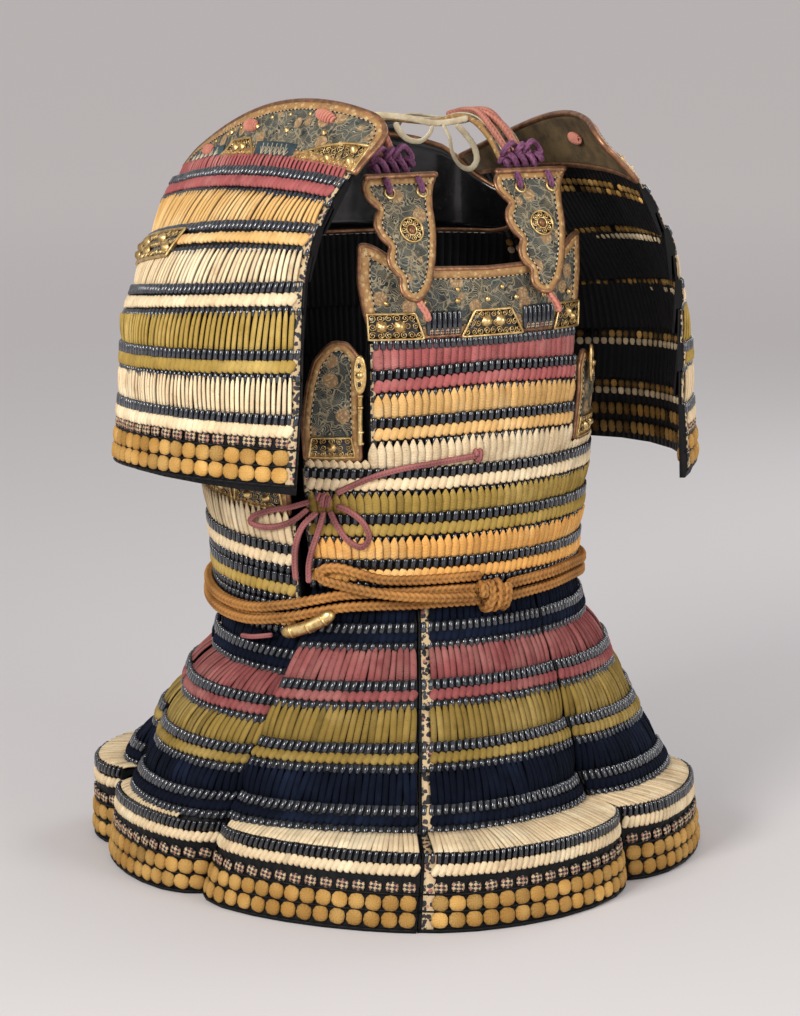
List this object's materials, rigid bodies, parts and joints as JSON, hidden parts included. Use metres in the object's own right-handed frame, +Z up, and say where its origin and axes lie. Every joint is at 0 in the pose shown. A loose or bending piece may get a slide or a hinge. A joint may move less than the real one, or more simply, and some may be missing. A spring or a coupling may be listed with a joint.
{
  "type": "lamellar armour with shoulder guards and skirt",
  "caption": "Hollow laced-scale cuirass with straps, curved shoulder guards, hanging leaf plates, a flared skirt of laced pieces that it stands on, and its rope belt.",
  "frame": {"origin": "centre of the part's box at the level of the skirt's hem, which stands on the surface", "axes": "+Z up, -Y towards the wearer's front, +X towards the wearer's left"},
  "size_m": [0.6017, 0.6, 0.7701],
  "materials": {
    "rose_lacing": "braided silk",
    "amber_lacing": "braided silk",
    "white_lacing": "braided silk",
    "olive_lacing": "braided silk",
    "navy_lacing": "braided silk",
    "printed_leather": "printed and smoke-dyed",
    "black_lacquer": "polished black lacquer",
    "copper_rim": "lacquered copper",
    "gilt_metal": "gilt, worn",
    "rope": "thick twisted silk rope",
    "bow_cord": "braided silk cord",
    "purple_cord": "braided silk cord",
    "cream_leather": "plain soft leather"
  },
  "bodies": {
    "root": {"front_row_upper": "rose_lacing", "front_row_lower": "amber_lacing", "back_row_1": "rose_lacing", "back_row_2": "rose_lacing", "back_row_3": "amber_lacing", "back_row_4": "amber_lacing", "body_row_1": "white_lacing", "body_row_2": "olive_lacing", "body_row_3": "amber_lacing", "chest_plate": "printed_leather", "back_plate": "printed_leather", "side_plate_right_front": "printed_leather", "side_plate_left": "printed_leather", "side_plate_right_back": "printed_leather", "strap_right": "printed_leather", "strap_knot_right": "purple_cord", "leaf_plate_right": "printed_leather", "strap_left": "printed_leather", "strap_knot_left": "purple_cord", "leaf_plate_left": "printed_leather", "skirt_front": "navy_lacing", "skirt_front_left": "navy_lacing", "skirt_left": "navy_lacing", "skirt_back_left": "navy_lacing", "skirt_back": "navy_lacing", "skirt_back_right": "navy_lacing", "skirt_right": "navy_lacing", "skirt_front_right": "navy_lacing", "guard_right_plate": "printed_leather", "guard_right_row_1": "rose_lacing", "guard_right_row_2": "amber_lacing", "guard_right_row_3": "white_lacing", "guard_right_row_4": "olive_lacing", "guard_right_row_5": "white_lacing", "guard_right_bar": "gilt_metal", "guard_left_plate": "printed_leather", "guard_left_row_1": "rose_lacing", "guard_left_row_2": "amber_lacing", "guard_left_row_3": "white_lacing", "guard_left_row_4": "olive_lacing", "guard_left_row_5": "white_lacing", "guard_left_bar": "gilt_metal", "belt_upper_turn": "rope", "belt_lower_turn": "rope", "belt_bight": "rope", "belt_knot": "rope", "belt_end": "gilt_metal", "tie_run": "bow_cord", "tie_knot": "bow_cord", "tie_loop_right": "bow_cord", "tie_loop_left": "bow_cord", "tie_tail_1": "bow_cord", "tie_tail_2": "bow_cord", "tie_lower": "bow_cord", "strap_tie_span": "cream_leather", "strap_tie_bow": "cream_leather", "strap_tie_loop": "cream_leather", "toggle_right": "gilt_metal", "toggle_left": "gilt_metal", "hinge_rod": "gilt_metal"}
  },
  "joints": []
}
